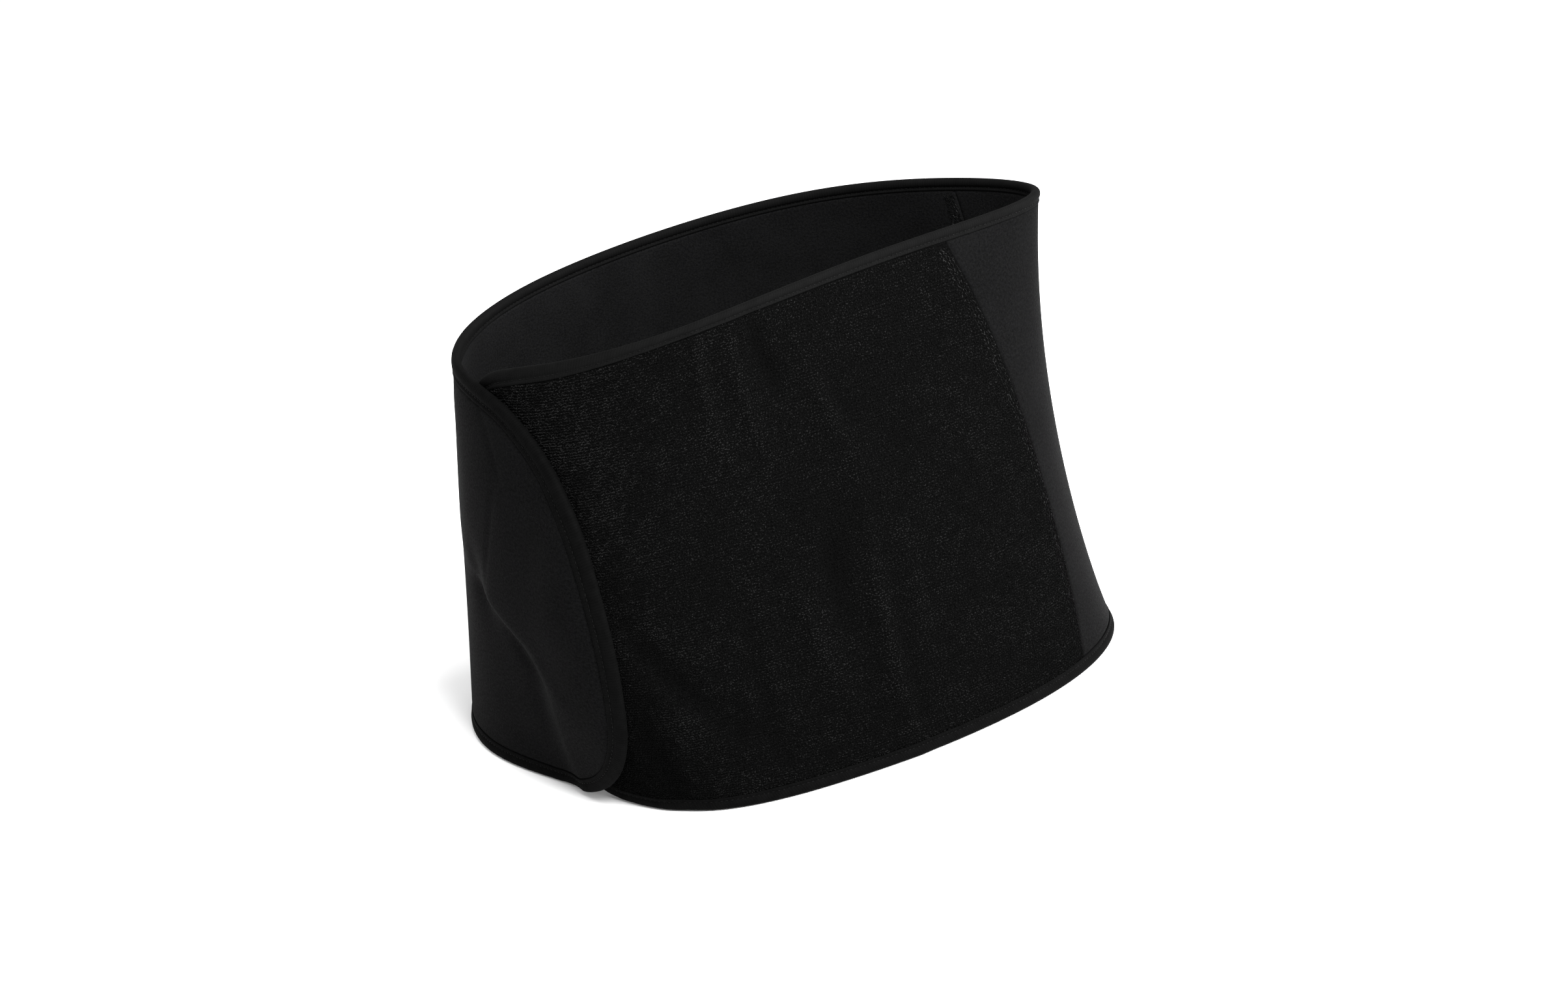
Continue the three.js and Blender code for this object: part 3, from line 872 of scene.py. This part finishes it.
def zigzag(side, face, thread):
    """One uneven thread of a seam's band: its stitches' centres, the way they face and their shades."""
    tall = float(rim_height(ZIGZAG_TURN))
    starts = np.arange(ZIGZAG_END_INSET, tall - ZIGZAG_END_INSET - ZIGZAG_STEP, ZIGZAG_STEP)
    count = len(starts)
    share = np.linspace(0, 1, len(ZIGZAG_BOW))
    starts = starts + ZIGZAG_STEP * rng.uniform(-ZIGZAG_OFF_STEP, ZIGZAG_OFF_STEP, count)
    t = (starts[:, None] + ZIGZAG_STEP * rng.uniform(*ZIGZAG_LENGTHS, count)[:, None] * share) / tall
    near, far = ZIGZAG_BAND
    thread_width = (far - near) / ZIGZAG_THREADS
    middle = near + thread_width * (thread + 0.5 + rng.uniform(-ZIGZAG_OFF_LINE, ZIGZAG_OFF_LINE, count))
    way = np.where((np.arange(count) + thread) % 2 == 0, 1.0, -1.0) * rng.uniform(*ZIGZAG_SLANTS, count)
    across = middle[:, None] + thread_width / 2 * way[:, None] * np.cos(np.pi * share)
    u = seam_line(side, t)
    u = u + side * across / lengths(u, t)[0]
    on_loops = side < 0 < face
    wall_face = (LOOP_GROUND if on_loops else 0.0) if face > 0 else -FOAM
    level = wall_face + face * SEAM_THREAD * ZIGZAG_BOW
    bright = np.interp(t[:, 0], (0, 1), SEAM_BRIGHT[side, face])
    shade = np.clip(rng.lognormal(*ZIGZAG_SHADE, count) * bright, 0, 1)
    return layer(u, t, np.broadcast_to(level, t.shape)), slopes(u, t)[2] * face, shade


zigzag_runs = [
    zigzag(side, face, thread) for side in (-1, 1) for face in (1, -1) for thread in range(ZIGZAG_THREADS)
]
seam_stitches = tubes(
    "seam_stitches",
    np.concatenate([centres for centres, _, _ in zigzag_runs]),
    np.concatenate([facing for _, facing, _ in zigzag_runs]),
    np.full(len(ZIGZAG_BOW), SEAM_THREAD), THREAD_SIDES, seam_thread,
    np.concatenate([shade for _, _, shade in zigzag_runs]),
)


# Loop pile on the front panel

def loop_places():
    """Jittered rows of loops over the part of the loop panel that shows, as turns and heights."""
    tall = float(rim_height(LOOP_ROWS_TURN))
    turns, heights = [], []
    for row in np.arange(0.0, tall, LOOP_ROW):
        t = row / tall
        step = LOOP_PITCH / float(lengths(np.array([LOOP_PITCH_TURN]), np.array([t]))[0][0])
        u = np.arange(underlap_end[:, 0].min(), float(seam_line(-1, t)), step)
        turns.append(u + rng.uniform(-LOOP_OFF_PITCH, LOOP_OFF_PITCH, len(u)) * step)
        heights.append(t + rng.uniform(-LOOP_OFF_ROW, LOOP_OFF_ROW, len(u)) * LOOP_ROW / tall)
    u, t = np.concatenate(turns), np.concatenate(heights)
    clear_of_seam = beside_seam(-1, -(ZIGZAG_BAND[1] + LOOP_LONG / 2))(t)
    shown = u > turn_at(flap_end, t) - 1 - LOOP_HIDDEN_UNDER_FLAP
    shown &= distance_to(underlap_end, u, t) > LOOP_EDGE_INSET
    shown &= u > turn_at(underlap_end, t)
    shown &= u < clear_of_seam
    shown &= rim_inset(u, t) > LOOP_EDGE_INSET
    return u[shown], t[shown]


def patches(u, t, size):
    """Smooth random patches of some millimetres over the panel, minus one to one."""
    x, y = u * WAY_ROUND_TOP / size, t * HEIGHT_RIGHT / size
    i, j = np.floor(x).astype(int), np.floor(y).astype(int)
    values = rng.uniform(-1.0, 1.0, (i.max() + 2, j.max() + 2))
    a, b = smooth(0, 1, x - i), smooth(0, 1, y - j)
    below = values[i, j] * (1 - a) + values[i + 1, j] * a
    above = values[i, j + 1] * (1 - a) + values[i + 1, j + 1] * a
    return below * (1 - b) + above * b


def loop_pile_pieces():
    """Curled loops in bands, each loop with its own size, lean and shade."""
    u, t = loop_places()
    count = len(u)
    along, up, out = slopes(u, t)
    along, up = unit(along), unit(up)
    inset = np.minimum(rim_inset(u, t), distance_to(underlap_end, u, t))
    foot = layer(u, t, outer_level(inset, LOOP_GROUND) - LOOP_SUNK)
    angle = rng.normal(0.0, LOOP_TURNED, count)
    lean = rng.normal(0.0, LOOP_LEAN, count)
    tall = LOOP_TALL * rng.uniform(*LOOP_HEIGHTS, count)
    long = LOOP_LONG * rng.uniform(*LOOP_LENGTHS, count)
    fleck = rng.lognormal(*LOOP_SHADE, count)
    run = along * np.cos(angle)[:, None] + up * np.sin(angle)[:, None]
    aside = np.cross(out, run)
    rise = out + aside * lean[:, None]
    centres = np.stack(
        [foot + run * (x * long)[:, None] + rise * (y * tall)[:, None] for x, y in LOOP_ARCH], axis=1,
    )
    outward = np.repeat(out[:, None, :], len(LOOP_ARCH), axis=1)
    # Painted sheen and shade: loops paler toward the top beside the flap, darker toward the bottom there.
    painted_sheen_and_shade = 1.0 + PAINTED_SHEEN_PALER * (t - PAINTED_SHEEN_ABOVE) * (1 - smooth(*PAINTED_SHEEN_UNTIL, u))
    # Painted light and shade on the folds and creases: loops paler where they stand out, darker where they
    # sink in.
    painted_light_and_shade = painted_sheen_and_shade + FOLD_PAINTED_LIGHT * folds_out(FOLDS, u, t) + CREASE_PAINTED_LIGHT * folds_out(LOOP_CREASES, u, t)
    shade = fleck * np.maximum(painted_light_and_shade, DARKEST_PAINTED_SHADE)
    for size, strength in LOOP_PATCHES:
        shade = shade * (1 + strength * patches(u, t, size))
    shade = np.clip(shade, 0, 1)
    band = np.minimum((t * len(LOOP_BANDS)).astype(int), len(LOOP_BANDS) - 1)
    radii = np.full(len(LOOP_ARCH), LOOP_YARN)
    return [
        tubes(name, centres[band == k], outward[band == k], radii, LOOP_SIDES, loop_yarn, shade[band == k])
        for k, name in enumerate(LOOP_BANDS)
    ]


loop_piles = loop_pile_pieces()


# Hook tape under the flap

def hook_grid(across, upward):
    t = np.repeat(np.linspace(*HOOK_HEIGHTS, upward)[:, None], across, axis=1)
    far, near = HOOK_FROM_FLAP_END
    u = turn_at(flap_end, t) - np.linspace(far, near, across)[None, :]
    return u, t


def hook_pieces():
    u, t = hook_grid(*HOOK_GRID)
    top = HOOK_LEVEL - FLAP_LIFT
    outer = layer(u, t, np.full(u.shape, top))
    inner = layer(u, t, np.full(u.shape, top - HOOK_THICK))
    backing = slab("hook_backing", outer, inner, hook_plastic, hook_plastic, cloth_uv(u, t))
    u, t = (grid.ravel() for grid in hook_grid(*(int(side / HOOK_PITCH) for side in HOOK_FIELD)))
    along, up, out = slopes(u, t)
    foot = layer(u, t, np.full(u.shape, top - HOOK_THICK))
    centres = np.stack([foot + (unit(along) * x - out * y) * HOOK_TALL for x, y in HOOK_BEND], axis=1)
    facing = np.repeat(unit(up)[:, None, :], len(HOOK_BEND), axis=1)
    hooks = tubes("hook_hooks", centres, facing, HOOK_RADII, THREAD_SIDES, hook_plastic)
    return backing, hooks


hook_backing, hook_hooks = hook_pieces()


# What each piece rides on, and the CAD parts the pieces stand in for, hidden

for piece in (loop_cloth, side_cloth, wrap_cloth, edge_tape):
    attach(piece, "root")
for piece in (tape_stitches, seam_stitches, hook_backing, hook_hooks):
    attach(piece, "root")
for piece in loop_piles:
    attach(piece, "root")
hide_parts("loop_panel")
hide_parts("side_panel")
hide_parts("wrap_panel")
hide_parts("edge_binding")
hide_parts("hook_patch")


# Floor, light and camera

FLOOR_HALF = 30000.0
FLOOR_UNDER = -0.3
AIM = (Vector((0.0, 0.0, 120.0)) - Vector(BOX_CENTRE)) * MM


def floor_piece():
    material, tree, shader, shades = cloth_material("pale_floor", "pale_floor")
    colour(tree, shader, noise(tree, object_place(tree), 200.0), shades)
    corners = ((-1, -1), (1, -1), (1, 1), (-1, 1))
    points = [(x * FLOOR_HALF, y * FLOOR_HALF, FLOOR_UNDER) for x, y in corners]
    return mesh_piece("floor", points, (0, 1, 2, 3), (material,))


floor = floor_piece()

world = bpy.data.worlds.new("studio")
world.use_nodes = True
sky = world.node_tree.nodes["Background"]
sky.inputs["Color"].default_value = (1.0, 1.0, 1.0, 1.0)
sky.inputs["Strength"].default_value = 1.0
bpy.context.scene.world = world

# Soft boxes: name, place in metres, side in metres and power in watts.
SOFT_BOXES = (
    ("front_box", (0.35, -1.05, 1.35), 0.8, 77.0),
    ("right_box", (1.25, 0.0, 0.7), 0.8, 37.0),
    ("back_left_box", (-0.9, 1.0, 0.6), 0.8, 5.0),
)


def soft_box(name, place, side, power):
    lamp = bpy.data.lights.new(name, "AREA")
    lamp.size = side
    lamp.energy = power
    holder = bpy.data.objects.new(name, lamp)
    holder.location = place
    holder.rotation_euler = (AIM - Vector(place)).to_track_quat("-Z", "Y").to_euler()
    bpy.context.scene.collection.objects.link(holder)


for name, place, side, power in SOFT_BOXES:
    soft_box(name, place, side, power)

# Camera: turned and raised from straight in front, rolled, with a small lens shift in frame widths.
CAMERA_TURN = math.radians(12.8)
CAMERA_RISE = math.radians(20.4)
CAMERA_ROLL = math.radians(-6.0)
CAMERA_AWAY = 1.2
CAMERA_LENS = 54.72
CAMERA_SENSOR = 36.0
CAMERA_SHIFT = (0.00872, -0.01786)


def photo_camera():
    level = math.cos(CAMERA_RISE)
    look = Vector((math.sin(CAMERA_TURN) * level, math.cos(CAMERA_TURN) * level, -math.sin(CAMERA_RISE)))
    level_right = Vector((math.cos(CAMERA_TURN), -math.sin(CAMERA_TURN), 0))
    level_up = level_right.cross(look)
    right = level_right * math.cos(CAMERA_ROLL) + level_up * math.sin(CAMERA_ROLL)
    up = level_up * math.cos(CAMERA_ROLL) - level_right * math.sin(CAMERA_ROLL)
    data = bpy.data.cameras.new("camera")
    data.sensor_width = CAMERA_SENSOR
    data.lens = CAMERA_LENS
    data.shift_x, data.shift_y = CAMERA_SHIFT
    camera = bpy.data.objects.new("camera", data)
    turned = Matrix((right, up, -look)).transposed().to_4x4()
    camera.matrix_world = Matrix.Translation(AIM - look * CAMERA_AWAY) @ turned
    bpy.context.scene.collection.objects.link(camera)
    return camera


bpy.context.scene.camera = photo_camera()
bpy.context.scene.view_settings.view_transform = "Standard"
